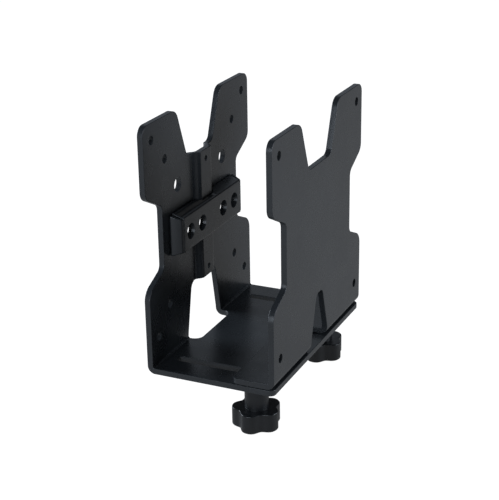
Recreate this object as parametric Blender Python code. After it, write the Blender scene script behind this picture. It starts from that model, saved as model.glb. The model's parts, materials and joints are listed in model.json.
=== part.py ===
"""Width-adjustable holder for a mini desktop computer.

Two folded steel brackets make a tray that is open in front, behind and on top. The fixed bracket
bolts to an arm, a wall or a monitor through its side plate. The sliding bracket lies on the fixed
one's floor, and two star knobs under the floor clamp it at the width of the computer.

Frame: the origin is the centre of the square hole pattern, on the outer face of the fixed bracket's
side plate. +X runs across the tray to the sliding bracket, +Y to the back, +Z up. Units are metres.
"""

import math

import bmesh
import bpy
from mathutils import Vector

MM = 0.001
GAP = 0.3 * MM

# Sheet and folds
SHEET = 3.0 * MM
BEND_INNER = 1.0 * MM
BEND_LENGTH = math.pi / 2 * (BEND_INNER + SHEET / 2)
BEND_STEPS = 6
ARC_STEP = math.radians(18)

# Tray
OPENING = 61.7 * MM
HALF_DEPTH = 58.0 * MM
PLATE_TOP = 58.3 * MM
FLOOR_TOP = -64.0 * MM
FLOOR_END = 67.4 * MM
FLANGE_LENGTH = 19.2 * MM

# Outline of both side plates
WAIST_HALF = 42.0 * MM
NOTCH_BOTTOM = 32.3 * MM
NOTCH_BOTTOM_HALF = 14.0 * MM
NOTCH_TOP_HALF = 24.0 * MM
UPPER_WING_CORNER = 23.0 * MM
UPPER_WAIST_CORNER = 15.0 * MM
LOWER_WAIST_CORNER = -17.6 * MM
LOWER_WING_CORNER = -24.6 * MM

# Cable windows, which run on through the fold
WINDOW_TOP = -35.3 * MM
FIXED_WINDOW_TOP_HALF = 13.5 * MM
FIXED_WINDOW_FOOT_HALF = 19.0 * MM
FIXED_WINDOW_FOOT = -62.8 * MM
FIXED_WINDOW_REACH = 6.0 * MM
SLIDING_WINDOW_TOP_HALF = 5.6 * MM
SLIDING_WINDOW_FOOT_HALF = 10.8 * MM
SLIDING_WINDOW_FOOT = -58.6 * MM
SLIDING_WINDOW_REACH = 11.7 * MM

# Holes in the side plates
WIDE_PATTERN = 100.0 * MM
NARROW_PATTERN = 75.0 * MM
PATTERN_HOLE_R = 2.25 * MM
BOLT_HOLE_R = 4.35 * MM
BOLT_HOLE_Y = 25.0 * MM
BOLT_HOLE_Z = 20.8 * MM
RIB_HOLE_R = 1.5 * MM
RIB_HOLE_HEIGHTS = (27.4 * MM, -30.6 * MM)

# Pressed rib up the middle of the fixed plate
RIB_HEIGHT = 3.2 * MM
RIB_FACE_HALF = 6.6 * MM
RIB_FOOT_HALF = 9.2 * MM

# Clamp bar across the rib, and the slot in the plate behind it
BAR_Z = -2.5 * MM
BAR_HALF_LENGTH = 32.6 * MM
BAR_STAND_OFF = 6.5 * MM
BAR_FACE_HALF = 9.0 * MM
BAR_FOOT_HALF = 11.0 * MM
BAR_WALL = 2.4 * MM
BAR_CORNER_R = 1.2 * MM
BAR_HOLE_R = 4.15 * MM
BAR_HOLE_YS = (-25.0 * MM, -12.0 * MM, 12.0 * MM, 25.0 * MM)
BAR_SLOT_HALF_LENGTH = 30.5 * MM
BAR_SLOT_HALF_HEIGHT = 7.0 * MM

# End caps of the bar
CAP_PROUD = 3.1 * MM
CAP_PLUG = 5.0 * MM

# Width clamp: slots in the floor, studs under the flange, washers and knobs
CLAMP_Y = 42.75 * MM
CLAMP_FROM_PLATE = 13.0 * MM
SLOT_HALF_WIDTH = 2.8 * MM
SLOT_START = 9.0 * MM
SLOT_END = 61.0 * MM
STUD_R = 2.5 * MM
STUD_END = -84.0 * MM
FLAT_WASHER_R = 6.0 * MM
FLAT_WASHER_THICKNESS = 1.0 * MM
SPRING_WASHER_R = 4.6 * MM
SPRING_WASHER_THICKNESS = 1.0 * MM
SPRING_WASHER_LIFT = 0.2 * MM
SPRING_WASHER_SPLIT = math.radians(14)
HUB_R = 6.0 * MM
HUB_END = -82.2 * MM
KNOB_END = -91.8 * MM
KNOB_MEAN_R = 11.05 * MM
KNOB_LOBE = 1.25 * MM
KNOB_LOBES = 5
KNOB_POINTS = 60
KNOB_EDGE = 1.6 * MM
INSERT_R = 3.6 * MM
INSERT_END = -85.2 * MM
BORE_END = -86.0 * MM
ROUND_STEPS = 24

SIDES = {"front": -1, "rear": 1}


def clear_scene():
    for obj in list(bpy.data.objects):
        bpy.data.objects.remove(obj)


def material(name, colour, metallic, roughness):
    mat = bpy.data.materials.new(name)
    mat.use_nodes = True
    shader = mat.node_tree.nodes["Principled BSDF"]
    shader.inputs["Base Color"].default_value = (*colour, 1.0)
    shader.inputs["Metallic"].default_value = metallic
    shader.inputs["Roughness"].default_value = roughness
    return mat


def piece(name, bm, mat, location=(0, 0, 0), parent=None, smooth=True):
    """Turns a bmesh into a named object with its own material."""
    bmesh.ops.recalc_face_normals(bm, faces=bm.faces)
    mesh = bpy.data.meshes.new(name)
    bm.to_mesh(mesh)
    bm.free()
    if smooth:
        mesh.shade_smooth()
        mesh.set_sharp_from_angle(angle=math.radians(30))
    obj = bpy.data.objects.new(name, mesh)
    obj.location = location
    obj.parent = parent
    bpy.context.scene.collection.objects.link(obj)
    if mat:
        mesh.materials.append(mat)
    return obj


def empty(name, location, parent=None):
    obj = bpy.data.objects.new(name, None)
    obj.location = location
    obj.parent = parent
    bpy.context.scene.collection.objects.link(obj)
    return obj


def cut_with(obj, name, bm):
    """Cuts obj with a hidden solid that keeps its place in the same parent."""
    cutter = piece(name, bm, None, obj.location, obj.parent, smooth=False)
    cutter.hide_render = True
    cutter.display_type = "WIRE"
    modifier = obj.modifiers.new(name, "BOOLEAN")
    modifier.operation = "DIFFERENCE"
    modifier.solver = "EXACT"
    modifier.object = cutter


def rounded(corners):
    """Points of a closed outline from (x, y, radius) corners, with each corner an arc."""
    points = []
    for i, (x, y, radius) in enumerate(corners):
        corner = Vector((x, y))
        if radius == 0:
            points.append(corner)
            continue
        to_last = (Vector(corners[i - 1][:2]) - corner).normalized()
        to_next = (Vector(corners[(i + 1) % len(corners)][:2]) - corner).normalized()
        half = to_last.angle(to_next) / 2
        centre = corner + (to_last + to_next).normalized() * (radius / math.sin(half))
        start = corner + to_last * (radius / math.tan(half)) - centre
        end = corner + to_next * (radius / math.tan(half)) - centre
        first = math.atan2(start.y, start.x)
        sweep = (math.atan2(end.y, end.x) - first + math.pi) % (2 * math.pi) - math.pi
        steps = max(2, math.ceil(abs(sweep) / ARC_STEP))
        for k in range(steps + 1):
            angle = first + sweep * k / steps
            points.append(centre + radius * Vector((math.cos(angle), math.sin(angle))))
    return points


def mirrored(half):
    """A closed outline from the corners of its +Y half."""
    return half + [(x, -y, radius) for x, y, radius in reversed(half)]


def circle(x, y, radius, steps=16):
    angles = [2 * math.pi * k / steps for k in range(steps)]
    return [Vector((x + radius * math.cos(a), y + radius * math.sin(a))) for a in angles]


def square_pattern(spacing, radius):
    half = spacing / 2
    return [circle(z, y, radius) for z in (-half, half) for y in (-half, half)]


def sheet_blank(loops):
    """A flat sheet with holes: the first loop is the outline. X is the developed length."""
    bm = bmesh.new()
    edges = []
    for loop in loops:
        verts = [bm.verts.new((p.x, p.y, 0)) for p in loop]
        edges += [bm.edges.new((verts[i - 1], verts[i])) for i in range(len(verts))]
    bmesh.ops.triangle_fill(bm, use_beauty=True, use_dissolve=False, edges=edges)
    grown = bmesh.ops.extrude_face_region(bm, geom=bm.faces[:])
    moved = [g for g in grown["geom"] if isinstance(g, bmesh.types.BMVert)]
    bmesh.ops.translate(bm, verts=moved, vec=(0, 0, SHEET))
    return bm


def score(bm, axis, at):
    """Splits every face along one line, so that it can fold or be pressed there."""
    normal = Vector((0, 0, 0))
    normal[axis] = 1
    geom = bm.verts[:] + bm.edges[:] + bm.faces[:]
    bmesh.ops.bisect_plane(bm, geom=geom, dist=1e-7, plane_co=normal * at, plane_no=normal)


def press_rib(bm):
    """Presses the rib inwards, from the notch to the window. Depth 0 is the inner face."""
    for y in (RIB_FACE_HALF, RIB_FOOT_HALF):
        score(bm, 1, y)
        score(bm, 1, -y)
    for vert in bm.verts:
        if vert.co.x > WINDOW_TOP - GAP:
            rise = (RIB_FOOT_HALF - abs(vert.co.y)) / (RIB_FOOT_HALF - RIB_FACE_HALF)
            vert.co.z -= RIB_HEIGHT * min(1, max(0, rise))


def fold(bm, floor_top, side):
    """Folds the blank: the plate stays upright at X 0, and the floor goes to +X or -X."""
    start = floor_top + BEND_INNER
    for k in range(BEND_STEPS + 1):
        score(bm, 0, start - BEND_LENGTH * k / BEND_STEPS)
    for vert in bm.verts:
        along, depth = vert.co.x, vert.co.z
        angle = min(1, max(0, (start - along) / BEND_LENGTH)) * math.pi / 2
        reach = max(0, start - BEND_LENGTH - along)
        rise = max(0, along - start)
        radius = BEND_INNER + depth
        vert.co.x = side * (BEND_INNER - radius * math.cos(angle) + reach)
        vert.co.z = start - radius * math.sin(angle) + rise


def developed(reach, floor_top):
    """Developed length of a point that lies reach past the plate's inner face, on the floor."""
    return floor_top + BEND_INNER - BEND_LENGTH - (reach - BEND_INNER)


def plate_outline(floor_end, floor_top):
    half = [
        (NOTCH_BOTTOM, NOTCH_BOTTOM_HALF, 4.0 * MM),
        (PLATE_TOP, NOTCH_TOP_HALF, 6.5 * MM),
        (PLATE_TOP, HALF_DEPTH, 5.0 * MM),
        (UPPER_WING_CORNER, HALF_DEPTH, 5.5 * MM),
        (UPPER_WAIST_CORNER, WAIST_HALF, 4.0 * MM),
        (LOWER_WAIST_CORNER, WAIST_HALF, 4.0 * MM),
        (LOWER_WING_CORNER, HALF_DEPTH, 7.5 * MM),
        (developed(floor_end, floor_top), HALF_DEPTH, 3.0 * MM),
    ]
    return rounded(mirrored(half))


def window(top_half, top_r, foot, foot_half, reach, floor_top):
    half = [
        (WINDOW_TOP, top_half, top_r),
        (foot, foot_half, 20.0 * MM),
        (developed(reach, floor_top), foot_half, 4.5 * MM),
    ]
    return rounded(mirrored(half))


def slot(start, end, y, half_width):
    ends = [(start, -1), (end, -1), (end, 1), (start, 1)]
    return rounded([(x, y + side * half_width, half_width * 0.999) for x, side in ends])


def fixed_bracket(mat):
    loops = [
        plate_outline(FLOOR_END - SHEET, FLOOR_TOP),
        window(
            FIXED_WINDOW_TOP_HALF,
            4.5 * MM,
            FIXED_WINDOW_FOOT,
            FIXED_WINDOW_FOOT_HALF,
            FIXED_WINDOW_REACH,
            FLOOR_TOP,
        ),
    ]
    loops += square_pattern(WIDE_PATTERN, PATTERN_HOLE_R)
    loops += square_pattern(NARROW_PATTERN, PATTERN_HOLE_R)
    loops += [circle(BOLT_HOLE_Z, side * BOLT_HOLE_Y, BOLT_HOLE_R, 20) for side in SIDES.values()]
    loops += [circle(z, 0, RIB_HOLE_R, 12) for z in RIB_HOLE_HEIGHTS]
    low, high = BAR_Z - BAR_SLOT_HALF_HEIGHT, BAR_Z + BAR_SLOT_HALF_HEIGHT
    reach = BAR_SLOT_HALF_LENGTH
    radius = 4.0 * MM
    loops.append(rounded(mirrored([(low, reach, radius), (high, reach, radius)])))
    slot_ends = [developed(x - SHEET, FLOOR_TOP) for x in (SLOT_START, SLOT_END)]
    loops += [slot(*slot_ends, side * CLAMP_Y, SLOT_HALF_WIDTH) for side in SIDES.values()]
    bm = sheet_blank(loops)
    press_rib(bm)
    fold(bm, FLOOR_TOP, 1)
    return piece("fixed_bracket", bm, mat, (SHEET, 0, 0))


def sliding_bracket(mat, carriage):
    floor_top = FLOOR_TOP + GAP + SHEET
    loops = [
        plate_outline(FLANGE_LENGTH, floor_top),
        window(
            SLIDING_WINDOW_TOP_HALF,
            5.0 * MM,
            SLIDING_WINDOW_FOOT,
            SLIDING_WINDOW_FOOT_HALF,
            SLIDING_WINDOW_REACH,
            floor_top,
        ),
    ]
    loops += square_pattern(WIDE_PATTERN, PATTERN_HOLE_R)
    bm = sheet_blank(loops)
    fold(bm, floor_top, -1)
    return piece("sliding_bracket", bm, mat, parent=carriage)


def loft(rings):
    """A closed solid through rings of equally many points, capped at both ends."""
    bm = bmesh.new()
    loops = [[bm.verts.new(point) for point in ring] for ring in rings]
    for first, second in zip(loops, loops[1:]):
        for i in range(len(first)):
            bm.faces.new((first[i - 1], first[i], second[i], second[i - 1]))
    bm.faces.new(loops[0])
    bm.faces.new(loops[-1])
    return bm


def round_rings(profile, steps=ROUND_STEPS):
    """Rings about Z for a turned solid, from (radius, height) pairs."""
    return [[(p.x, p.y, z) for p in circle(0, 0, radius, steps)] for radius, z in profile]


def turned_ring(profile):
    """A ring about Z from the (radius, height) corners of its section."""
    bm = bmesh.new()
    verts = [bm.verts.new((radius, 0, z)) for radius, z in profile]
    edges = [bm.edges.new((verts[i - 1], verts[i])) for i in range(len(verts))]
    bmesh.ops.spin(
        bm,
        geom=verts + edges,
        cent=(0, 0, 0),
        axis=(0, 0, 1),
        angle=2 * math.pi,
        steps=ROUND_STEPS,
        use_merge=True,
    )
    return bm


def wall_half(x):
    """Half the bar's height over its sloping walls, at a distance x from the plate."""
    slope = (BAR_FOOT_HALF - BAR_FACE_HALF) / (BAR_STAND_OFF - GAP)
    return BAR_FOOT_HALF - slope * (x - GAP)


def clamp_bar(mat):
    """A channel with sloping walls and four holes, notched to pass over the rib."""
    half = [
        (GAP, BAR_FOOT_HALF, 0),
        (BAR_STAND_OFF, BAR_FACE_HALF, BAR_CORNER_R),
    ]
    inner = [(x, wall_half(x) - BAR_WALL, 0) for x in (RIB_HEIGHT + GAP, GAP)]
    outline = rounded(inner + half + [(x, -z, r) for x, z, r in reversed(inner + half)])
    ends = [[(p.x, y, p.y) for p in outline] for y in (-BAR_HALF_LENGTH, BAR_HALF_LENGTH)]
    bar = piece("clamp_bar", loft(ends), mat, (SHEET, 0, BAR_Z))
    slope = RIB_FOOT_HALF - RIB_FACE_HALF
    notch = [(-GAP, -1), (-GAP, 1), (RIB_HEIGHT + GAP, 1), (RIB_HEIGHT + GAP, -1)]
    wall = [(x, s * (RIB_FOOT_HALF + 2 * GAP - slope * x / RIB_HEIGHT)) for x, s in notch]
    heights = (-2 * BAR_FOOT_HALF, 2 * BAR_FOOT_HALF)
    cut_with(bar, "rib_cutter", loft([[(x, y, z) for x, y in wall] for z in heights]))
    for number, y in enumerate(BAR_HOLE_YS, 1):
        ring = circle(y, 0, BAR_HOLE_R, 20)
        depths = (RIB_HEIGHT - GAP, BAR_STAND_OFF + GAP)
        hole = loft([[(x, p.x, p.y) for p in ring] for x in depths])
        cut_with(bar, f"bar_hole_cutter_{number}", hole)


def bar_end_cap(name, side, mat):
    """A moulded cap: a plug inside the channel, and a curved flange that hides its end."""
    start = BAR_HALF_LENGTH + GAP
    plug = (2 * GAP, RIB_HEIGHT, BAR_WALL + 2 * GAP)
    stations = [
        (start - CAP_PLUG, *plug),
        (start, *plug),
        (start, GAP, BAR_STAND_OFF - GAP, GAP),
        (start + 0.4 * CAP_PROUD, GAP, 0.92 * BAR_STAND_OFF, GAP),
        (start + 0.8 * CAP_PROUD, GAP, 0.75 * BAR_STAND_OFF, GAP),
        (start + CAP_PROUD, GAP, 0.5 * BAR_STAND_OFF, GAP),
    ]
    rings = []
    for y, back, face, inset in stations:
        corners = [(x, sign * (wall_half(x) - inset)) for x, sign in ((back, -1), (face, -1))]
        corners += [(x, -z) for x, z in reversed(corners)]
        rings.append([(x, side * y, z) for x, z in corners])
    return piece(name, loft(rings), mat, (SHEET, 0, BAR_Z))


def clamp_stud(name, mat, axis):
    """A weld stud that hangs from the flange's underside through the floor's slot."""
    end = STUD_END + 0.6 * MM
    profile = [(STUD_R, FLOOR_TOP), (STUD_R, end), (STUD_R - 0.6 * MM, STUD_END)]
    return piece(name, loft(round_rings(profile)), mat, parent=axis)


def flat_washer(name, mat, axis):
    top = FLOOR_TOP - SHEET - GAP
    inner = STUD_R + GAP
    bottom = top - FLAT_WASHER_THICKNESS
    section = [(inner, top), (FLAT_WASHER_R, top), (FLAT_WASHER_R, bottom), (inner, bottom)]
    return piece(name, turned_ring(section), mat, parent=axis)


def spring_washer(name, mat, axis):
    """A split ring whose ends stand a little apart."""
    top = FLOOR_TOP - SHEET - 2 * GAP - FLAT_WASHER_THICKNESS - SPRING_WASHER_LIFT
    inner = STUD_R + GAP
    bottom = top - SPRING_WASHER_THICKNESS
    bm = bmesh.new()
    corners = [(inner, top), (SPRING_WASHER_R, top), (SPRING_WASHER_R, bottom), (inner, bottom)]
    face = bm.faces.new([bm.verts.new((radius, 0, z)) for radius, z in corners])
    turn = 2 * math.pi - SPRING_WASHER_SPLIT
    bmesh.ops.spin(
        bm,
        geom=[face],
        cent=(0, 0, 0),
        axis=(0, 0, 1),
        dvec=(0, 0, SPRING_WASHER_LIFT / ROUND_STEPS),
        angle=turn,
        steps=ROUND_STEPS,
    )
    return piece(name, bm, mat, parent=axis)


def hub_top():
    washers = FLAT_WASHER_THICKNESS + SPRING_WASHER_THICKNESS + SPRING_WASHER_LIFT
    return FLOOR_TOP - SHEET - 3 * GAP - washers


def star_ring(scale, z, turn):
    """One ring of the knob's head, whose radius swells into five lobes."""
    ring = []
    for k in range(KNOB_POINTS):
        angle = 2 * math.pi * k / KNOB_POINTS
        radius = KNOB_MEAN_R + KNOB_LOBE * math.cos(KNOB_LOBES * angle) - scale
        ring.append((radius * math.cos(angle + turn), radius * math.sin(angle + turn), z))
    return ring


def star_knob(name, mat, axis, turn):
    """A five-lobed head below a round hub, with a blind bore for the threaded insert."""
    edge = KNOB_EDGE
    small = edge * (1 - math.cos(math.pi / 4))
    rings = [
        star_ring(edge, KNOB_END, turn),
        star_ring(small, KNOB_END + small, turn),
        star_ring(0, KNOB_END + edge, turn),
        star_ring(0, HUB_END - edge, turn),
        star_ring(small, HUB_END - small, turn),
        star_ring(edge, HUB_END, turn),
    ]
    bore = INSERT_R + GAP
    top = hub_top()
    hub = [
        (HUB_R + 0.4 * MM, HUB_END),
        (HUB_R, HUB_END + 0.5 * MM),
        (HUB_R, top - 0.4 * MM),
        (HUB_R - 0.4 * MM, top),
        (bore, top),
        (bore, BORE_END),
    ]
    for radius, z in hub:
        rings.append([(p.x, p.y, z) for p in turned(radius, turn)])
    return piece(name, loft(rings), mat, parent=axis)


def turned(radius, turn):
    angles = [turn + 2 * math.pi * k / KNOB_POINTS for k in range(KNOB_POINTS)]
    return [Vector((radius * math.cos(a), radius * math.sin(a))) for a in angles]


def knob_insert(name, mat, axis):
    inner = STUD_R + GAP
    top = hub_top() - GAP
    section = [(inner, top), (INSERT_R, top), (INSERT_R, INSERT_END), (inner, INSERT_END)]
    return piece(name, turned_ring(section), mat, parent=axis)


def main():
    clear_scene()
    steel = material("powder_coated_steel", (0.045, 0.048, 0.052), 0.0, 0.42)
    nylon = material("black_nylon", (0.02, 0.021, 0.023), 0.0, 0.5)
    zinc = material("zinc_plated_steel", (0.62, 0.63, 0.65), 1.0, 0.35)
    brass = material("brass", (0.72, 0.52, 0.22), 1.0, 0.35)
    fixed_bracket(steel)
    clamp_bar(steel)
    carriage = empty("carriage", (SHEET + OPENING, 0, 0))
    sliding_bracket(steel, carriage)
    for word, side in SIDES.items():
        bar_end_cap(f"bar_end_cap_{word}", side, nylon)
        axis = empty(f"clamp_axis_{word}", (-CLAMP_FROM_PLATE, side * CLAMP_Y, 0), carriage)
        clamp_stud(f"clamp_stud_{word}", zinc, axis)
        flat_washer(f"flat_washer_{word}", zinc, axis)
        spring_washer(f"spring_washer_{word}", zinc, axis)
        star_knob(f"star_knob_{word}", nylon, axis, -math.pi / 2)
        knob_insert(f"knob_insert_{word}", brass, axis)


main()
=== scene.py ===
# %% [markdown]
# # A width-adjustable holder for a mini desktop computer
#
# The real object is two brackets of 3 mm steel, cut flat, folded and powder coated black. One
# carries the floor and bolts to an arm or a wall. The other slides on that floor, and two star
# knobs underneath clamp it at the width of the computer.
#
# The frame holds the working parts as plain solids. This file makes the pieces that are seen, each
# in the place of its solid, with the rounded edges, folds, threads and finishes of the real ones.
# We start by loading the frame and keeping its box.

import json
import math

import bmesh
import bpy
from mathutils import Matrix, Vector

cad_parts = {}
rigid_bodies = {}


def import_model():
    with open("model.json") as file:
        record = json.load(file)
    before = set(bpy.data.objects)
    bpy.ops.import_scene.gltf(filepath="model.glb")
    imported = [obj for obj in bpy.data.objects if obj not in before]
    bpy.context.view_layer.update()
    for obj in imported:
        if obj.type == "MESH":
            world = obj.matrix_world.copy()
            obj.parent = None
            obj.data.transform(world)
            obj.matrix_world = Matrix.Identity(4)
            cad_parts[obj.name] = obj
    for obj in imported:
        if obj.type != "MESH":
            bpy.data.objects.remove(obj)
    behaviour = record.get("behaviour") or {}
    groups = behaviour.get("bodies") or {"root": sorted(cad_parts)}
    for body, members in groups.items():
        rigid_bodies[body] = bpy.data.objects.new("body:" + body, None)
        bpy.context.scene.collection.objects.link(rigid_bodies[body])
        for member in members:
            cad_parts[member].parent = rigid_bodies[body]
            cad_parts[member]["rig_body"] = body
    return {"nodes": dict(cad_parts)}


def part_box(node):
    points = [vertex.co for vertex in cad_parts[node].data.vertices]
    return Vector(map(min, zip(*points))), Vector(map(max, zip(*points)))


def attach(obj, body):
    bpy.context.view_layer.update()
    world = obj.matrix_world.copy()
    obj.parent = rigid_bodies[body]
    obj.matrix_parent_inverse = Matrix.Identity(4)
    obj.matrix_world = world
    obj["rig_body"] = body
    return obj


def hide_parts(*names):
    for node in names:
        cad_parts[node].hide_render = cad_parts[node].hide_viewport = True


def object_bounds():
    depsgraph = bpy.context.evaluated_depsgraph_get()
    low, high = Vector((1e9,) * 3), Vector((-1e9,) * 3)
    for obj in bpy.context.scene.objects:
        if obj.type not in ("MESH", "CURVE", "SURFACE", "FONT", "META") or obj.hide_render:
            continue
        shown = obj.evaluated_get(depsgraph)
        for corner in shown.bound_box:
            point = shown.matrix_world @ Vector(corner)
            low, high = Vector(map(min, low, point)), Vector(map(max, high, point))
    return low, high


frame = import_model()
cad_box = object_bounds()
MM = 0.001
print("frame box, mm:", [round(v / MM, 1) for corner in cad_box for v in corner])

# %% [markdown]
# ## Camera
#
# A product picture of this holder is taken from the front right and a little above, with a long
# lens, so that upright edges stay nearly upright. A camera looks along its own -Z, so we stand it
# up by a turn about X, swing it round Z to face the holder, and level it with a small roll.

# %% Place the camera
CAMERA_PLACE = Vector((0.29244, -0.57056, 0.22577))
CAMERA_SWING = math.radians(24.75)
CAMERA_TILT = math.radians(90 - 21.26)
CAMERA_ROLL = math.radians(-0.95)
LENS_MM = 95.93
SENSOR_MM = 36

camera_data = bpy.data.cameras.new("camera")
camera_data.lens = LENS_MM
camera_data.sensor_width = SENSOR_MM
camera_data.sensor_fit = "HORIZONTAL"
camera = bpy.data.objects.new("camera", camera_data)
bpy.context.scene.collection.objects.link(camera)
swing = Matrix.Rotation(CAMERA_SWING, 4, "Z")
tilt = Matrix.Rotation(CAMERA_TILT, 4, "X")
roll = Matrix.Rotation(CAMERA_ROLL, 4, "Z")
camera.matrix_world = Matrix.Translation(CAMERA_PLACE) @ swing @ tilt @ roll
bpy.context.scene.camera = camera
middle = sum(cad_box, Vector()) / 2
print("camera to the middle of the holder, mm:", round((CAMERA_PLACE - middle).length / MM))

# %% [markdown]
# ## Nodes and colours
#
# Every finish below is a small tree of shader nodes. One helper adds a node, sets its properties
# and fills its sockets, either with a value or with a link from another node. Colours are written
# as the sRGB hex values that a paint program shows, and one function turns them to the linear
# values that the renderer works with.

# %% Two helpers for every finish
def add_node(tree, kind, sockets=None, **settings):
    """Adds a node. A socket takes a plain value, or another node's output socket as a link."""
    node = tree.nodes.new(kind)
    for name, value in settings.items():
        setattr(node, name, value)
    for name, value in (sockets or {}).items():
        if isinstance(value, bpy.types.NodeSocket):
            tree.links.new(value, node.inputs[name])
        else:
            node.inputs[name].default_value = value
    return node


def linear(hex_colour):
    """An sRGB colour such as #2b2d30 as linear red, green, blue and alpha."""
    parts = [int(hex_colour[i : i + 2], 16) / 255 for i in (1, 3, 5)]
    return [p / 12.92 if p <= 0.04045 else ((p + 0.055) / 1.055) ** 2.4 for p in parts] + [1]


print("middle grey in linear light:", round(linear("#808080")[0], 3))


# %% [markdown]
# ## Studio
#
# Black satin metal has almost no colour of its own: what the eye sees is the room in it. So the
# main light is a large white floor, which the upright sheets mirror at a flat angle, and a few
# soft square lamps fill in the sides, the front ends and the tray. The floor and the room look
# pure white to the camera, but give the pieces only a part of that light, or the black would turn
# grey. The room itself gives almost none.

# %% Floor and room
ROOM_LIGHT = 0.01
FLOOR_LIGHT = 0.25
WHITE_TO_CAMERA = 1.0
FLOOR_HALF = 3.0


def camera_share(tree, dim, bright):
    """A strength that is bright where the camera looks at it, and dim as a source of light."""
    path = add_node(tree, "ShaderNodeLightPath")
    sockets = {0: path.outputs["Is Camera Ray"], 3: dim, 4: bright}
    return add_node(tree, "ShaderNodeMapRange", sockets).outputs[0]


world = bpy.data.worlds.new("studio")
world.use_nodes = True
world_tree = world.node_tree
room = world_tree.nodes["Background"]
room.inputs["Color"].default_value = linear("#ffffff")
world_tree.links.new(camera_share(world_tree, ROOM_LIGHT, WHITE_TO_CAMERA), room.inputs["Strength"])
bpy.context.scene.world = world

paper = bpy.data.materials.new("white_paper")
paper.use_nodes = True
paper_tree = paper.node_tree
paper_shader = paper_tree.nodes["Principled BSDF"]
paper_shader.inputs["Base Color"].default_value = linear("#606060")
paper_shader.inputs["Roughness"].default_value = 0.9
paper_shader.inputs["Emission Color"].default_value = linear("#ffffff")
glow = camera_share(paper_tree, FLOOR_LIGHT, WHITE_TO_CAMERA)
paper_tree.links.new(glow, paper_shader.inputs["Emission Strength"])

floor_bm = bmesh.new()
bmesh.ops.create_grid(floor_bm, x_segments=1, y_segments=1, size=FLOOR_HALF)
bmesh.ops.translate(floor_bm, verts=floor_bm.verts, vec=(0, 0, cad_box[0].z))
floor_mesh = bpy.data.meshes.new("floor")
floor_bm.to_mesh(floor_mesh)
floor_bm.free()
floor_mesh.materials.append(paper)
floor = bpy.data.objects.new("floor", floor_mesh)
bpy.context.scene.collection.objects.link(floor)
bpy.context.scene.view_settings.view_transform = "Standard"
print("floor at", round(cad_box[0].z / MM, 1), "mm")


# %% Lamps
DAYLIGHT = "#e8f2ff"


def soft_lamp(name, place, side, watts):
    """A square soft box of slightly cool light that faces the holder."""
    lamp = bpy.data.lights.new(name, "AREA")
    lamp.shape = "RECTANGLE"
    lamp.size = side
    lamp.size_y = side
    lamp.energy = watts
    lamp.color = linear(DAYLIGHT)[:3]
    lamp_object = bpy.data.objects.new(name, lamp)
    away = Vector(place)
    lamp_object.location = away
    lamp_object.rotation_mode = "QUATERNION"
    lamp_object.rotation_quaternion = away.to_track_quat("Z", "Y")
    bpy.context.scene.collection.objects.link(lamp_object)


soft_lamp("key_right", place=(0.96, 0.26, 0.06), side=0.6, watts=6.5)
soft_lamp("front", place=(0.0, -1, 0.25), side=0.6, watts=4.7)
soft_lamp("left", place=(-1, 0, 0.3), side=0.6, watts=13)
soft_lamp("rear", place=(-0.25, 0.85, 0.5), side=0.8, watts=0.6)

# %% [markdown]
# ## Powder coat
#
# The steel is powder coated: a dry polyester paint, melted on in an oven. It flows into a skin
# about 0.1 mm thick with a satin shine and a very fine orange peel. The eye reads it as a soft,
# wide highlight with no mirror in it, a little uneven in shine, and thinner over the rims.
# We take a dark base, the usual index of a clear polymer, and a noise for each of those effects.
# The real grain is near 0.4 mm, which a picture of the whole holder would lose, so it is drawn
# twice as coarse.

# %% Powder-coated steel
POWDER_GRAIN = 0.8 * MM
SHINE_PATCH = 9 * MM
TONE_PATCH = 45 * MM


def new_finish(name, **sockets):
    """A material with a Principled shader whose sockets are set, and its Object coordinates."""
    finish = bpy.data.materials.new(name)
    finish.use_nodes = True
    shader = finish.node_tree.nodes["Principled BSDF"]
    for socket, value in sockets.items():
        shader.inputs[socket.replace("_", " ")].default_value = value
    place = add_node(finish.node_tree, "ShaderNodeTexCoord").outputs["Object"]
    return finish, shader, place


NOISE_LOW, NOISE_HIGH = 0.3, 0.7


def mottle(tree, place, size, low, high, detail=2.0):
    """A value that drifts between low and high in patches of about size metres."""
    noise = add_node(
        tree, "ShaderNodeTexNoise", {"Vector": place, "Scale": 1 / size, "Detail": detail}
    )
    sockets = {0: noise.outputs[0], 1: NOISE_LOW, 2: NOISE_HIGH, 3: low, 4: high}
    return add_node(tree, "ShaderNodeMapRange", sockets).outputs[0]


def tint(tree, share, dark, light):
    """A colour between two hex values."""
    mix = add_node(tree, "ShaderNodeMix", {0: share}, data_type="RGBA")
    mix.inputs[6].default_value = linear(dark)
    mix.inputs[7].default_value = linear(light)
    return mix.outputs[2]


powder, powder_shader, powder_place = new_finish(
    "powder_coated_steel", IOR=1.5, Metallic=0.0, Specular_IOR_Level=0.5
)
powder_tree = powder.node_tree
powder_tone = mottle(powder_tree, powder_place, TONE_PATCH, 0.0, 1.0)
powder_colour = tint(powder_tree, powder_tone, "#2c2f32", "#323538")
powder_shine = mottle(powder_tree, powder_place, SHINE_PATCH, 0.25, 0.31)
powder_grain = mottle(powder_tree, powder_place, POWDER_GRAIN, 0.0, 1.0)
powder_bump = add_node(
    powder_tree,
    "ShaderNodeBump",
    {"Strength": 0.12, "Distance": 0.05 * MM, "Height": powder_grain},
)
powder_tree.links.new(powder_colour, powder_shader.inputs["Base Color"])
powder_tree.links.new(powder_shine, powder_shader.inputs["Roughness"])
powder_tree.links.new(powder_bump.outputs[0], powder_shader.inputs["Normal"])
print("powder coat:", len(powder_tree.nodes), "nodes")

# %% [markdown]
# ## Moulded plastics
#
# The bar's end caps are injection-moulded polypropylene, and the knobs are glass-filled nylon.
# Both copy the spark-eroded surface of their mould: a fine even grain, a duller shine than the
# paint on the caps, and a slightly cloudy one on the knobs, where the glass comes near the skin.
# They differ only in numbers, so one function makes both.

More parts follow.
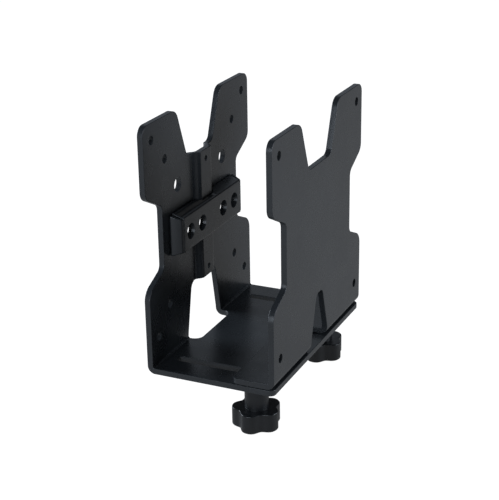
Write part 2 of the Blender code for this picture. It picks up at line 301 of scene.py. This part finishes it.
# %% Moulded polypropylene and glass-filled nylon
MOULD_GRAIN = 0.6 * MM


def moulded(name, dark, light, shine, grain_depth):
    finish, shader, place = new_finish(name, IOR=1.5)
    tree = finish.node_tree
    tone = mottle(tree, place, 12 * MM, 0.0, 1.0)
    tree.links.new(tint(tree, tone, dark, light), shader.inputs["Base Color"])
    tree.links.new(mottle(tree, place, 4 * MM, *shine), shader.inputs["Roughness"])
    grain = mottle(tree, place, MOULD_GRAIN, 0.0, 1.0, detail=3.0)
    sockets = {"Strength": 0.15, "Distance": grain_depth, "Height": grain}
    bump = add_node(tree, "ShaderNodeBump", sockets)
    tree.links.new(bump.outputs[0], shader.inputs["Normal"])
    return finish


polypropylene = moulded("moulded_polypropylene", "#202326", "#26292c", (0.34, 0.44), 0.04 * MM)
nylon = moulded("glass_filled_nylon", "#141618", "#1b1d20", (0.30, 0.42), 0.05 * MM)
print("moulded finishes:", polypropylene.name, nylon.name)

# %% [markdown]
# ## Zinc plate and brass
#
# The studs and washers are steel with bright zinc on it, and the bushes in the knobs are turned
# brass. Metals take their colour in the reflection itself. Zinc plate is dull silver with a faint
# blue, patchy where the bath was uneven. Turned brass keeps the rings that the tool left, which
# run round the piece, so their pattern depends only on the height.

# %% Zinc-plated steel and turned brass
TOOL_RING = 0.35 * MM

zinc, zinc_shader, zinc_place = new_finish("zinc_plated_steel", Metallic=1.0)
zinc_tree = zinc.node_tree
zinc_tone = mottle(zinc_tree, zinc_place, 2.5 * MM, 0.0, 1.0)
zinc_colour = tint(zinc_tree, zinc_tone, "#b4b8bd", "#cdd0d3")
zinc_tree.links.new(zinc_colour, zinc_shader.inputs["Base Color"])
zinc_shine = mottle(zinc_tree, zinc_place, 1.2 * MM, 0.28, 0.42)
zinc_tree.links.new(zinc_shine, zinc_shader.inputs["Roughness"])

brass, brass_shader, brass_place = new_finish("turned_brass", Metallic=1.0)
brass_tree = brass.node_tree
brass_tone = mottle(brass_tree, brass_place, 3 * MM, 0.0, 1.0)
brass_colour = tint(brass_tree, brass_tone, "#c9a25a", "#dcb970")
brass_tree.links.new(brass_colour, brass_shader.inputs["Base Color"])
brass_shine = mottle(brass_tree, brass_place, 1.5 * MM, 0.22, 0.34)
brass_tree.links.new(brass_shine, brass_shader.inputs["Roughness"])
tool_rings = add_node(
    brass_tree,
    "ShaderNodeTexWave",
    {"Vector": brass_place, "Scale": math.pi / (10 * TOOL_RING)},
    bands_direction="Z",
)
tool_bump = add_node(
    brass_tree,
    "ShaderNodeBump",
    {"Strength": 0.3, "Distance": 0.02 * MM, "Height": tool_rings.outputs["Fac"]},
)
brass_tree.links.new(tool_bump.outputs[0], brass_shader.inputs["Normal"])
print("metals:", zinc.name, brass.name)

# %% [markdown]
# ## From a bmesh to a piece
#
# Each shape is made as a bmesh and then takes its place among the pieces in the same way: its
# faces are turned outwards, it is shaded smooth except at true corners, and it rides on a body of
# the frame in place of the plain solid. Rounded rims look right only if the big flat faces keep
# their own normals, and the Weighted Normal modifier sees to that.

# %% Make a piece
SMOOTH_BELOW = math.radians(35)


def body_with(node):
    """The name of the body that a CAD node rides on."""
    return frame["nodes"][node]["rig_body"]


def make_piece(name, bm, finish, node):
    """The bmesh becomes a piece that stands for a CAD node and moves as that node does."""
    bmesh.ops.recalc_face_normals(bm, faces=bm.faces)
    mesh = bpy.data.meshes.new(name)
    bm.to_mesh(mesh)
    bm.free()
    mesh.shade_smooth()
    mesh.set_sharp_from_angle(angle=SMOOTH_BELOW)
    mesh.materials.append(finish)
    piece = bpy.data.objects.new(name, mesh)
    bpy.context.scene.collection.objects.link(piece)
    flats = piece.modifiers.new("flats", "WEIGHTED_NORMAL")
    flats.keep_sharp = True
    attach(piece, body_with(node))
    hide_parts(node)
    print(f"{name}: {len(mesh.polygons)} faces, on {body_with(node)}")
    return piece


# %% [markdown]
# ## Outlines
#
# Laser-cut sheet is straight lines and arcs. An outline here is a list of corners, each with the
# radius that rounds it, and both plates are the same to the left and the right, so only half of
# the corners are written. The flat blank lies with its length along X, as the developed height,
# and its width along Y.

# %% Draw outlines with rounded corners
ARC_STEP = math.radians(7.5)
HAIR = 0.0001


def rounded(corners):
    """Points of a closed outline from (x, y, radius) corners."""
    points = []
    for i, (x, y, radius) in enumerate(corners):
        corner = Vector((x, y))
        to_last = (Vector(corners[i - 1][:2]) - corner).normalized()
        to_next = (Vector(corners[(i + 1) % len(corners)][:2]) - corner).normalized()
        half = to_last.angle(to_next) / 2
        centre = corner + (to_last + to_next).normalized() * (radius / math.sin(half))
        start = corner + to_last * (radius / math.tan(half)) - centre
        end = corner + to_next * (radius / math.tan(half)) - centre
        first = math.atan2(start.y, start.x)
        sweep = (math.atan2(end.y, end.x) - first + math.pi) % (2 * math.pi) - math.pi
        steps = max(2, math.ceil(abs(sweep) / ARC_STEP))
        for k in range(steps + 1):
            angle = first + sweep * k / steps
            points.append(centre + radius * Vector((math.cos(angle), math.sin(angle))))
    return points


def mirrored(half):
    """All the corners of an outline from those of its +Y half."""
    return half + [(x, -y, radius) for x, y, radius in reversed(half)]


def hole(x, y, radius):
    """A round hole, as a square outline whose corners are rounded until they meet."""
    reach = radius * (1 + HAIR)
    square = [(-1, -1), (1, -1), (1, 1), (-1, 1)]
    return rounded([(x + reach * a, y + reach * b, radius) for a, b in square])


def long_hole(start, end, y, radius):
    """A slot along X with round ends."""
    ends = [(start, -1), (end, -1), (end, 1), (start, 1)]
    return rounded([(x, y + side * radius, radius * (1 - 10 * HAIR)) for x, side in ends])


print("a round hole is drawn with", len(hole(0, 0, MM)), "points")


# %% [markdown]
# ## Sheet metal
#
# A brake press folds a flat blank: the metal bends over a short stretch and stays straight on both
# sides. We do the same. The blank is filled between its outline and its holes, thickened, and
# given the small round edge that deburring and paint leave. Then it is scored with parallel cuts
# wherever it has to bend, and each point is carried to its place round the fold. Making it flat
# first keeps the wall equally thick everywhere, which a shape drawn in its folded state seldom is.

# %% Cut and score a blank
SHEET = 3.0 * MM
RIM = 0.28 * MM
HOLE_RIM = 0.06 * MM
BEND_INNER = 1.0 * MM
BEND_LENGTH = math.pi / 2 * (BEND_INNER + SHEET / 2)
BEND_CUTS = 12
TOUCHING = 1e-7


def sharp_edges(bm, above):
    """The edges whose two faces turn by more than above degrees."""
    return [e for e in bm.edges if e.calc_face_angle(0) > math.radians(above)]


def round_edges(bm, edges, radius, segments=3):
    bmesh.ops.bevel(
        bm,
        geom=edges,
        offset=radius,
        segments=segments,
        profile=0.5,
        affect="EDGES",
        material=-1,
        loop_slide=False,
    )


def lies_on(edge, loops):
    """True if both ends of the edge are points of one of the loops, seen from above."""
    ends = [vert.co.to_2d() for vert in edge.verts]
    return all(min((end - p).length for loop in loops for p in loop) < RIM / 100 for end in ends)


def cut_blank(loops, holes, thickness, rim):
    """A flat sheet, from Z 0 up, between its outline and its openings. Holes have crisper rims."""
    bm = bmesh.new()
    for loop in loops + holes:
        verts = [bm.verts.new((p.x, p.y, 0)) for p in loop]
        for i in range(len(verts)):
            bm.edges.new((verts[i - 1], verts[i]))
    bmesh.ops.remove_doubles(bm, verts=bm.verts, dist=0.01 * MM)
    bmesh.ops.triangle_fill(bm, use_beauty=True, use_dissolve=False, edges=bm.edges[:])
    grown = bmesh.ops.extrude_face_region(bm, geom=bm.faces[:])
    moved = [g for g in grown["geom"] if isinstance(g, bmesh.types.BMVert)]
    bmesh.ops.translate(bm, verts=moved, vec=(0, 0, thickness))
    bmesh.ops.recalc_face_normals(bm, faces=bm.faces)
    rims = sharp_edges(bm, above=80)
    outer = [e for e in rims if lies_on(e, loops)]
    inner = [e for e in rims if not lies_on(e, loops)]
    if rim:
        round_edges(bm, outer, rim)
    round_edges(bm, inner, HOLE_RIM)
    return bm


def narrow(bm, x, y, radius, level, share):
    """Tapers a hole, so that at one side of the sheet it keeps only a share of its radius."""
    middle = Vector((x, y))
    for vert in bm.verts:
        away = vert.co.xy - middle
        if abs(vert.co.z - level) < 2 * HOLE_RIM and away.length < radius + 2 * HOLE_RIM:
            vert.co.xy = middle + away * share


def score(bm, axis, at):
    """Splits every face along one line, so that it can bend there."""
    normal = Vector((0, 0, 0))
    normal[axis] = 1
    geom = bm.verts[:] + bm.edges[:] + bm.faces[:]
    bmesh.ops.bisect_plane(bm, geom=geom, dist=TOUCHING, plane_co=normal * at, plane_no=normal)


print("a square bend takes", round(BEND_LENGTH / MM, 2), "mm of sheet")


# %% Fold a blank
def fold(bm, floor_top, side):
    """Folds the blank: the plate stays upright at X 0, and the floor goes to +X or -X."""
    start = floor_top + BEND_INNER
    for k in range(BEND_CUTS + 1):
        score(bm, 0, start - BEND_LENGTH * k / BEND_CUTS)
    for vert in bm.verts:
        along, depth = vert.co.x, vert.co.z
        angle = min(1, max(0, (start - along) / BEND_LENGTH)) * math.pi / 2
        reach = max(0, start - BEND_LENGTH - along)
        rise = max(0, along - start)
        radius = BEND_INNER + depth
        vert.co.x = side * (BEND_INNER - radius * math.cos(angle) + reach)
        vert.co.z = start - radius * math.sin(angle) + rise


def developed(reach, floor_top):
    """Where, along the flat blank, a point lies that ends up reach past the plate on the floor."""
    return floor_top + BEND_INNER - BEND_LENGTH - (reach - BEND_INNER)


# %% [markdown]
# ## The side plates' outline
#
# Both plates are the same letter X: four wings round a waist, with a notch between the upper two
# for cables. The wings carry the hole squares of 100 mm and 75 mm that arms and monitors use.
# The frame gives the plates' height and depth. The corners between are this design's own.

# %% Outline of both plates
fixed_low, fixed_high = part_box("fixed_bracket")
sliding_low, sliding_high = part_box("sliding_bracket")
HALF_DEPTH = fixed_high.y
PLATE_TOP = fixed_high.z
FLOOR_TOP = fixed_low.z + SHEET
FLANGE_TOP = sliding_low.z + SHEET
WAIST_HALF = 42.0 * MM
NOTCH_BOTTOM = 32.3 * MM
WINDOW_TOP = -35.3 * MM
WIDE_PATTERN = 100 * MM
NARROW_PATTERN = 75 * MM


def plate_outline(floor_end, floor_top):
    """The plate and its floor, from corners as height, distance from the middle and rounding."""
    half = [
        (NOTCH_BOTTOM, 14.0 * MM, 4.0 * MM),
        (PLATE_TOP, 24.0 * MM, 6.5 * MM),
        (PLATE_TOP, HALF_DEPTH, 5.0 * MM),
        (23.0 * MM, HALF_DEPTH, 5.5 * MM),
        (15.0 * MM, WAIST_HALF, 4.0 * MM),
        (-17.6 * MM, WAIST_HALF, 4.0 * MM),
        (-24.6 * MM, HALF_DEPTH, 7.5 * MM),
        (developed(floor_end, floor_top), HALF_DEPTH, 3.0 * MM),
    ]
    return rounded(mirrored(half))


def window(top_half, top_radius, foot, foot_half, reach, floor_top):
    """The cable window low in a plate, which runs on through the fold into the floor."""
    half = [
        (WINDOW_TOP, top_half, top_radius),
        (foot, foot_half, 20.0 * MM),
        (developed(reach, floor_top), foot_half, 4.5 * MM),
    ]
    return rounded(mirrored(half))


def square_of_holes(spacing, radius):
    """Four holes at the corners of a square about the middle of the plate."""
    half = spacing / 2
    return [hole(z, y, radius) for z in (-half, half) for y in (-half, half)]


plate_height = PLATE_TOP - FLOOR_TOP
print("plates, mm:", round(plate_height / MM, 1), "high,", round(2 * HALF_DEPTH / MM, 1), "deep")

# %% [markdown]
# ## The fixed bracket
#
# One blank makes the side plate and the floor. A rib is pressed up the middle of the plate to
# stiffen it, and it crosses the slot where the clamp bar is fastened. Pressing moves metal only
# towards the inside, along a soft step whose two bends have the radius of the press tool. The two
# bolt holes are punched from the inside, so they widen a little towards the back, where the slug
# broke away.

# %% Press the rib
RIB_HEIGHT = 3.2 * MM
RIB_FACE_HALF = 5.2 * MM
RIB_FOOT_HALF = 10.3 * MM
RIB_CUTS = 14
RIB_BEND_SHARE = 0.45


def soft_step(t):
    """0 to 1 along a straight slope with a round bend at each end."""
    t = min(1, max(0, t))
    if t > 0.5:
        return 1 - soft_step(1 - t)
    bend = RIB_BEND_SHARE
    height = t * t / (2 * bend) if t < bend else t - bend / 2
    return height / (1 - bend)


def press_rib(bm):
    width = RIB_FOOT_HALF - RIB_FACE_HALF
    for k in range(RIB_CUTS + 1):
        for side in (-1, 1):
            score(bm, 1, side * (RIB_FACE_HALF + width * k / RIB_CUTS))
    for vert in bm.verts:
        if vert.co.x > WINDOW_TOP - RIM:
            vert.co.z -= RIB_HEIGHT * soft_step((RIB_FOOT_HALF - abs(vert.co.y)) / width)


print("the rib stands", round(RIB_HEIGHT / MM, 1), "mm off the plate")


# %% Draw the fixed blank
CLAMP_Y = (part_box("clamp_stud_rear")[0].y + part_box("clamp_stud_rear")[1].y) / 2
BAR_SLOT_R = 4.0 * MM
BAR_SLOT_HALF_LENGTH = 30.5 * MM
BAR_SLOT_HALF_HEIGHT = 7.0 * MM
SCREW_HOLE_R = 2.25 * MM
BOLT_HOLE_R = 4.0 * MM
BOLT_HOLE_Y = 25.0 * MM
BOLT_HOLE_Z = 20.8 * MM
BOLT_FRONT_SHARE = 0.92
RIB_HOLE_R = 1.5 * MM
RIB_HOLE_HEIGHTS = (27.4 * MM, -30.6 * MM)
FLOOR_SLOT_FROM = 9.0 * MM
FLOOR_SLOT_TO = 61.0 * MM
FLOOR_SLOT_R = 2.6 * MM
bar_low, bar_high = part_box("clamp_bar")
BAR_Z = (bar_low.z + bar_high.z) / 2

fixed_loops = [
    plate_outline(fixed_high.x - SHEET, FLOOR_TOP),
    window(
        top_half=13.5 * MM,
        top_radius=4.5 * MM,
        foot=-62.8 * MM,
        foot_half=19.0 * MM,
        reach=6.0 * MM,
        floor_top=FLOOR_TOP,
    ),
]
fixed_holes = square_of_holes(WIDE_PATTERN, SCREW_HOLE_R)
fixed_holes += square_of_holes(NARROW_PATTERN, SCREW_HOLE_R)
fixed_holes += [hole(BOLT_HOLE_Z, y, BOLT_HOLE_R) for y in (-BOLT_HOLE_Y, BOLT_HOLE_Y)]
fixed_holes += [hole(z, 0, RIB_HOLE_R) for z in RIB_HOLE_HEIGHTS]
bar_slot = [
    (BAR_Z + side * BAR_SLOT_HALF_HEIGHT, BAR_SLOT_HALF_LENGTH, BAR_SLOT_R) for side in (-1, 1)
]
fixed_holes.append(rounded(mirrored(bar_slot)))
slot_start, slot_end = (
    developed(x - SHEET, FLOOR_TOP) for x in (FLOOR_SLOT_FROM, FLOOR_SLOT_TO)
)
for y in (-CLAMP_Y, CLAMP_Y):
    fixed_holes.append(long_hole(slot_start, slot_end, y, FLOOR_SLOT_R))
print("the fixed blank has", len(fixed_holes), "holes and slots")

# %% Fold the fixed bracket
fixed_bm = cut_blank(fixed_loops, fixed_holes, SHEET, RIM)
for y in (-BOLT_HOLE_Y, BOLT_HOLE_Y):
    narrow(fixed_bm, BOLT_HOLE_Z, y, BOLT_HOLE_R, 0, BOLT_FRONT_SHARE)
press_rib(fixed_bm)
fold(fixed_bm, FLOOR_TOP, 1)
bmesh.ops.translate(fixed_bm, verts=fixed_bm.verts, vec=(SHEET, 0, 0))
make_piece("fixed_sheet", fixed_bm, powder, "fixed_bracket")

# %% [markdown]
# ## The sliding bracket
#
# The second blank has the same plate with a narrower window and only the large square of holes.
# Its floor is a short flange that lies on the fixed one, so the same functions fold it the other
# way, from a plate that stands at the far side of the tray.

# %% Make the sliding bracket
FLANGE_LENGTH = sliding_high.x - sliding_low.x - SHEET
sliding_loops = [
    plate_outline(FLANGE_LENGTH, FLANGE_TOP),
    window(
        top_half=3.8 * MM,
        top_radius=3.2 * MM,
        foot=-58.6 * MM,
        foot_half=10.8 * MM,
        reach=11.7 * MM,
        floor_top=FLANGE_TOP,
    ),
]
sliding_holes = square_of_holes(WIDE_PATTERN, SCREW_HOLE_R)
sliding_bm = cut_blank(sliding_loops, sliding_holes, SHEET, RIM)
fold(sliding_bm, FLANGE_TOP, -1)
bmesh.ops.translate(sliding_bm, verts=sliding_bm.verts, vec=(sliding_high.x - SHEET, 0, 0))
make_piece("sliding_sheet", sliding_bm, powder, "sliding_bracket")

# %% [markdown]
# ## The clamp bar
#
# The bar across the fixed plate is a channel: a face with four clearance holes, and two walls that
# lean out a little and stand on the plate. The face is cut like the other sheets. The walls are
# pulled out of strips along its back, and left out where the rib passes under the bar. The bar's
# bolt holes taper towards the back, which leads a bolt in.

# %% Pull the bar's walls out of a flat face
BAR_FACE = 3.0 * MM
BAR_FACE_HALF = 9.0 * MM
BAR_WALL = 2.4 * MM
BAR_ROUND = 0.6 * MM
BAR_HOLES = (-25 * MM, -12 * MM, 12 * MM, 25 * MM)
BAR_CORNER_R = 0.6 * MM
BAR_HOLE_R = 4.05 * MM
BAR_BACK_SHARE = 0.76
BAR_OVER_FACE = RIB_FACE_HALF + 0.8 * MM
BAR_OVER_FOOT = RIB_FOOT_HALF - 0.1 * MM
bar_half = (bar_high.y - bar_low.y) / 2
bar_foot_half = (bar_high.z - bar_low.z) / 2
bar_depth = bar_high.x - bar_low.x


def bar_spread(depth):
    """How far the bar's walls have leaned out at a depth behind its face."""
    return (bar_foot_half - BAR_FACE_HALF) * depth / bar_depth


def face_corners(half_x, half_y, radius):
    """Corners of a rectangle about the middle, each with the radius that rounds it."""
    signs = ((-1, -1), (1, -1), (1, 1), (-1, 1))
    return [(a * half_x, b * half_y, radius) for a, b in signs]


bar_outline = rounded(face_corners(BAR_FACE_HALF, bar_half, BAR_CORNER_R))
bar_bm = cut_blank([bar_outline], [hole(0, y, BAR_HOLE_R) for y in BAR_HOLES], BAR_FACE, 0)
for y in BAR_HOLES:
    narrow(bar_bm, 0, y, BAR_HOLE_R, BAR_FACE, BAR_BACK_SHARE)
wall_inside = BAR_FACE_HALF - BAR_WALL
for side in (-1, 1):
    score(bar_bm, 0, side * wall_inside)
    score(bar_bm, 1, side * BAR_OVER_FACE)
strips = []
for face in bar_bm.faces:
    middle = face.calc_center_median()
    on_back = middle.z > BAR_FACE - RIM / 10
    if on_back and abs(middle.x) > wall_inside and abs(middle.y) > BAR_OVER_FACE:
        strips.append(face)
grown = bmesh.ops.extrude_face_region(bar_bm, geom=strips)
feet = [g for g in grown["geom"] if isinstance(g, bmesh.types.BMVert)]
bmesh.ops.translate(bar_bm, verts=feet, vec=(0, 0, bar_depth - BAR_FACE))
for vert in feet:
    if abs(vert.co.y) < BAR_OVER_FACE + RIM:
        vert.co.y = math.copysign(BAR_OVER_FOOT, vert.co.y)
for vert in bar_bm.verts:
    if abs(vert.co.x) > wall_inside - RIM / 10:
        vert.co.x += math.copysign(bar_spread(vert.co.z), vert.co.x)
bmesh.ops.recalc_face_normals(bar_bm, faces=bar_bm.faces)
# The rims of the holes are made of short edges, and stay crisp.
bar_edges = [e for e in sharp_edges(bar_bm, above=35) if e.calc_length() > HOLE_RIM * 12]
round_edges(bar_bm, bar_edges, BAR_ROUND)

# %% Stand the bar on the plate
# The face lay at Z 0 with its height along X: it now looks along +X, with its height along Z.
on_plate = Matrix.Rotation(math.radians(-90), 4, "Y")
bmesh.ops.transform(bar_bm, matrix=on_plate, verts=bar_bm.verts)
bmesh.ops.translate(bar_bm, verts=bar_bm.verts, vec=(bar_high.x, 0, BAR_Z))
make_piece("bar_channel", bar_bm, powder, "clamp_bar")

# %% [markdown]
# ## End caps of the bar
#
# A moulded cap closes each end of the channel. It has the bar's own section, a face that slants
# back and swells a little, and a plug that grips inside the walls. We draw the cap from above,
# pull it up to its height, lean its top and bottom like the bar's walls, and round it softly,
# because a mould cannot fill a sharp corner.

# %% Make the end caps
CAP_SWELL = 0.45 * MM
CAP_SHY = 0.25 * MM
CAP_ROUND = 0.8 * MM
CAP_STEPS = 8
CAP_GAP = 0.3 * MM
CAP_LIP = 0.5 * MM
PLUG_DEPTH = 5.0 * MM


def end_cap(node, side):
    """The cap and its plug, made for the rear end and mirrored for the front."""
    low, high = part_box(node)
    tip = max(abs(low.y), abs(high.y))
    start = bar_half + CAP_GAP
    back, front = low.x, bar_high.x - CAP_SHY
    bm = bmesh.new()
    first, last = Vector((back, tip)), Vector((front, start + CAP_LIP))
    swell_way = Vector((last.y - first.y, first.x - last.x)).normalized() * -CAP_SWELL
    outline = [(back, start)]
    for k in range(CAP_STEPS + 1):
        t = k / CAP_STEPS
        outline.append(first.lerp(last, t) + swell_way * 4 * t * (1 - t))
    outline.append((front, start))
    foot = bar_foot_half - CAP_SHY
    verts = [bm.verts.new((x, y, -foot)) for x, y in outline]
    bm.faces.new(verts)
    grown = bmesh.ops.extrude_face_region(bm, geom=bm.faces[:])
    tops = [g for g in grown["geom"] if isinstance(g, bmesh.types.BMVert)]
    bmesh.ops.translate(bm, verts=tops, vec=(0, 0, 2 * foot))
    for vert in bm.verts:
        lean = bar_foot_half - BAR_FACE_HALF - bar_spread(bar_high.x - vert.co.x)
        vert.co.z -= math.copysign(lean, vert.co.z)
    bmesh.ops.recalc_face_normals(bm, faces=bm.faces)
    seat = min(bm.faces, key=lambda face: face.calc_center_median().y)
    bmesh.ops.inset_region(bm, faces=[seat], thickness=BAR_WALL + CAP_GAP)
    grown = bmesh.ops.extrude_face_region(bm, geom=[seat])
    plug = [g for g in grown["geom"] if isinstance(g, bmesh.types.BMVert)]
    bmesh.ops.translate(bm, verts=plug, vec=(0, -PLUG_DEPTH, 0))
    bmesh.ops.recalc_face_normals(bm, faces=bm.faces)
    round_edges(bm, sharp_edges(bm, above=30), CAP_ROUND, segments=4)
    bmesh.ops.translate(bm, verts=bm.verts, vec=(0, 0, BAR_Z))
    if side < 0:
        bmesh.ops.scale(bm, verts=bm.verts, vec=(1, -1, 1))
    return bm


for word, side in (("front", -1), ("rear", 1)):
    node = f"bar_end_cap_{word}"
    make_piece(f"bar_cap_{word}", end_cap(node, side), polypropylene, node)

# %% [markdown]
# ## Turned shapes
#
# Studs, washers, bushes and the round part of the knobs are all a section turned about an axis.
# The section is half of a drawing: radius along X, height along Z. A section that starts and ends
# on the axis makes a solid, and a closed one away from the axis makes a ring.

# %% Turn a section
TURN_STEPS = 80
STUD_CLEARANCE_R = 2.8 * MM


def turn(section, ring):
    """A solid, or a ring, from the (radius, height) points of its section."""
    bm = bmesh.new()
    verts = [bm.verts.new((radius, 0, height)) for radius, height in section]
    edges = [bm.edges.new(pair) for pair in zip(verts, verts[1:])]
    if ring:
        edges.append(bm.edges.new((verts[-1], verts[0])))
    bmesh.ops.spin(
        bm,
        geom=verts + edges,
        cent=(0, 0, 0),
        axis=(0, 0, 1),
        angle=2 * math.pi,
        steps=TURN_STEPS,
        use_merge=True,
    )
    bmesh.ops.remove_doubles(bm, verts=bm.verts, dist=0.001 * MM)
    return bm


def bend_points(radius, height, bend, start, end, steps=6):
    """Points of a rounded corner, from a start to an end angle in degrees."""
    angles = [math.radians(start + (end - start) * k / steps) for k in range(steps + 1)]
    return [(radius + bend * math.cos(a), height + bend * math.sin(a)) for a in angles]


def on_axis(bm, node):
    """Moves a shape turned about Z onto the axis of a CAD node."""
    low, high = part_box(node)
    middle = (low + high) / 2
    bmesh.ops.translate(bm, verts=bm.verts, vec=(middle.x, middle.y, 0))
    return bm


print("one turned step is", 360 / TURN_STEPS, "degrees")


# %% [markdown]
# ## Studs
#
# An M5 stud hangs from the flange through each slot of the floor. Its thread has a pitch of
# 0.8 mm and a 60 degree groove. A thread is a zigzag swept once round while it climbs one pitch,
# so that every turn meets the next. The ragged ends are then cut off square.

# %% Make the threaded studs
PITCH = 0.8 * MM
THREAD_DEPTH = 0.45 * MM
THREAD_STEPS = 48


def threaded_stud(node):
    """A zigzag of thread profile, spun one turn while it climbs one pitch, and cut to length."""
    low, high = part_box(node)
    outer = (high.x - low.x) / 2
    bm = bmesh.new()
    turns = math.ceil((high.z - low.z) / PITCH) + 2
    verts = []
    for k in range(turns):
        z = low.z - PITCH + k * PITCH
        points = ((0.45, 0), (0.55, 0), (0.95, 1), (1.05, 1))
        for share, is_crest in points:
            radius = outer - THREAD_DEPTH * (1 - is_crest)
            verts.append(bm.verts.new((radius, 0, z + share * PITCH)))
    edges = [bm.edges.new(pair) for pair in zip(verts, verts[1:])]
    bmesh.ops.spin(
        bm,
        geom=verts + edges,
        cent=(0, 0, 0),
        axis=(0, 0, 1),
        dvec=(0, 0, PITCH / THREAD_STEPS),
        angle=2 * math.pi,
        steps=THREAD_STEPS,
    )
    bmesh.ops.remove_doubles(bm, verts=bm.verts, dist=0.005 * MM)
    for height, way in ((low.z, -1), (high.z, 1)):
        geom = bm.verts[:] + bm.edges[:] + bm.faces[:]
        bmesh.ops.bisect_plane(
            bm,
            geom=geom,
            dist=TOUCHING,
            plane_co=(0, 0, height),
            plane_no=(0, 0, way),
            clear_outer=True,
        )
    bmesh.ops.holes_fill(bm, edges=[e for e in bm.edges if e.is_boundary])
    return on_axis(bm, node)


for word in ("front", "rear"):
    make_piece(f"stud_{word}", threaded_stud(f"clamp_stud_{word}"), zinc, f"clamp_stud_{word}")

# %% [markdown]
# ## Washers
#
# A flat washer spreads the load over the slot, and a split spring washer under it keeps the knob
# from working loose. Punched steel has a small round on its rims. The spring washer is a square
# wire coiled a little more than flat, so its two ends stand apart in height.

# %% Make the flat washers
WASHER_ROUND = 0.2 * MM


def flat_washer(node):
    low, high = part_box(node)
    outer, inner = (high.x - low.x) / 2, STUD_CLEARANCE_R
    bm = turn([(inner, high.z), (outer, high.z), (outer, low.z), (inner, low.z)], ring=True)
    bmesh.ops.recalc_face_normals(bm, faces=bm.faces)
    round_edges(bm, sharp_edges(bm, above=40), WASHER_ROUND)
    return on_axis(bm, node)


# %% Make the spring washers
WIRE = 1.0 * MM
SPLIT = math.radians(14)


def spring_washer(node):
    low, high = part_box(node)
    outer, inner = (high.x - low.x) / 2, STUD_CLEARANCE_R
    lift = high.z - low.z - WIRE
    bm = bmesh.new()
    section = [(inner, low.z + WIRE), (outer, low.z + WIRE), (outer, low.z), (inner, low.z)]
    face = bm.faces.new([bm.verts.new((radius, 0, z)) for radius, z in section])
    bmesh.ops.spin(
        bm,
        geom=[face],
        cent=(0, 0, 0),
        axis=(0, 0, 1),
        dvec=(0, 0, lift / TURN_STEPS),
        angle=2 * math.pi - SPLIT,
        steps=TURN_STEPS,
    )
    bmesh.ops.recalc_face_normals(bm, faces=bm.faces)
    round_edges(bm, sharp_edges(bm, above=40), WASHER_ROUND)
    return on_axis(bm, node)


for word in ("front", "rear"):
    make_piece(f"washer_{word}", flat_washer(f"flat_washer_{word}"), zinc, f"flat_washer_{word}")
    node = f"spring_washer_{word}"
    make_piece(f"lock_washer_{word}", spring_washer(node), zinc, node)

# %% [markdown]
# ## Star knobs
#
# Each knob is a round hub over a five-lobed head, moulded in one shot around a brass bush. We turn
# the whole section first, with soft edges and a blind bore, and then press the lobes into it: a
# point is pulled in between the lobes, fully at the head's side and not at all on the hub. The
# head's top and bottom stay flat because the pull is only sideways.

# %% Make the star knobs
LOBES = 5
LOBE_PUSH = 1.25 * MM
VALLEY = 1.5
TOP_EDGE = 0.55 * MM
BOTTOM_EDGE = 1.0 * MM
HEAD_HEIGHT = 9.9 * MM
HUB_R = 6.0 * MM
HUB_FILLET = 0.1 * MM
INSERT_R = 3.6 * MM
BELOW_BUSH = 0.8 * MM
FIT = 0.3 * MM
FIRST_LOBE = math.radians(-90)


def lobe(angle):
    """1 at the top of a lobe and 0 in a valley, with wide lobes and narrow valleys."""
    dip = (1 - math.cos(LOBES * (angle - FIRST_LOBE))) / 2
    return 1 - dip**VALLEY


def star_knob(node, bush):
    """A turned hub and head over a blind bore, with the valleys pulled into the head."""
    low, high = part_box(node)
    axis_y = (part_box(bush)[0].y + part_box(bush)[1].y) / 2
    reach = axis_y - low.y
    head_top = low.z + HEAD_HEIGHT
    bore = INSERT_R + FIT
    bore_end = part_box(bush)[0].z - BELOW_BUSH
    section = [(0, low.z)]
    section += bend_points(reach - BOTTOM_EDGE, low.z + BOTTOM_EDGE, BOTTOM_EDGE, -90, 0)
    section += bend_points(reach - TOP_EDGE, head_top - TOP_EDGE, TOP_EDGE, 0, 90, 4)
    section += [(HUB_R + HUB_FILLET + 0.6 * (reach - HUB_R), head_top)]
    section += bend_points(HUB_R + HUB_FILLET, head_top + HUB_FILLET, HUB_FILLET, -90, -180, 3)
    section += bend_points(HUB_R - FIT, high.z - FIT, FIT, 0, 90, 3)
    section += [(bore, high.z), (bore, bore_end), (0, bore_end)]
    bm = turn(section, ring=False)
    free = HUB_R + 2 * HUB_FILLET
    for vert in bm.verts:
        radius = math.hypot(vert.co.x, vert.co.y)
        share = min(1, max(0, (radius - free) / (reach - BOTTOM_EDGE - free)))
        if share > 0:
            pull = share * 2 * LOBE_PUSH * (1 - lobe(math.atan2(vert.co.y, vert.co.x)))
            vert.co.x *= 1 - pull / radius
            vert.co.y *= 1 - pull / radius
    return on_axis(bm, bush)


for word in ("front", "rear"):
    bush = f"knob_insert_{word}"
    node = f"star_knob_{word}"
    make_piece(f"knob_{word}", star_knob(node, bush), nylon, node)

# %% [markdown]
# ## Brass bushes
#
# The bush is turned with two grooves round it, which the nylon fills and grips.

# %% Make the brass bushes
GROOVE = 0.4 * MM


def brass_bush(node):
    low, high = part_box(node)
    outer, inner = (high.x - low.x) / 2, STUD_CLEARANCE_R
    length = high.z - low.z
    section = [(inner, high.z), (outer - GROOVE / 2, high.z), (outer, high.z - GROOVE / 2)]
    for share in (0.35, 0.65):
        z = high.z - share * length
        section += [(outer, z + 1.5 * GROOVE), (outer - GROOVE, z + GROOVE)]
        section += [(outer - GROOVE, z - GROOVE), (outer, z - 1.5 * GROOVE)]
    section += [(outer, low.z), (inner, low.z)]
    return on_axis(turn(section, ring=True), node)


for word in ("front", "rear"):
    node = f"knob_insert_{word}"
    make_piece(f"bush_{word}", brass_bush(node), brass, node)
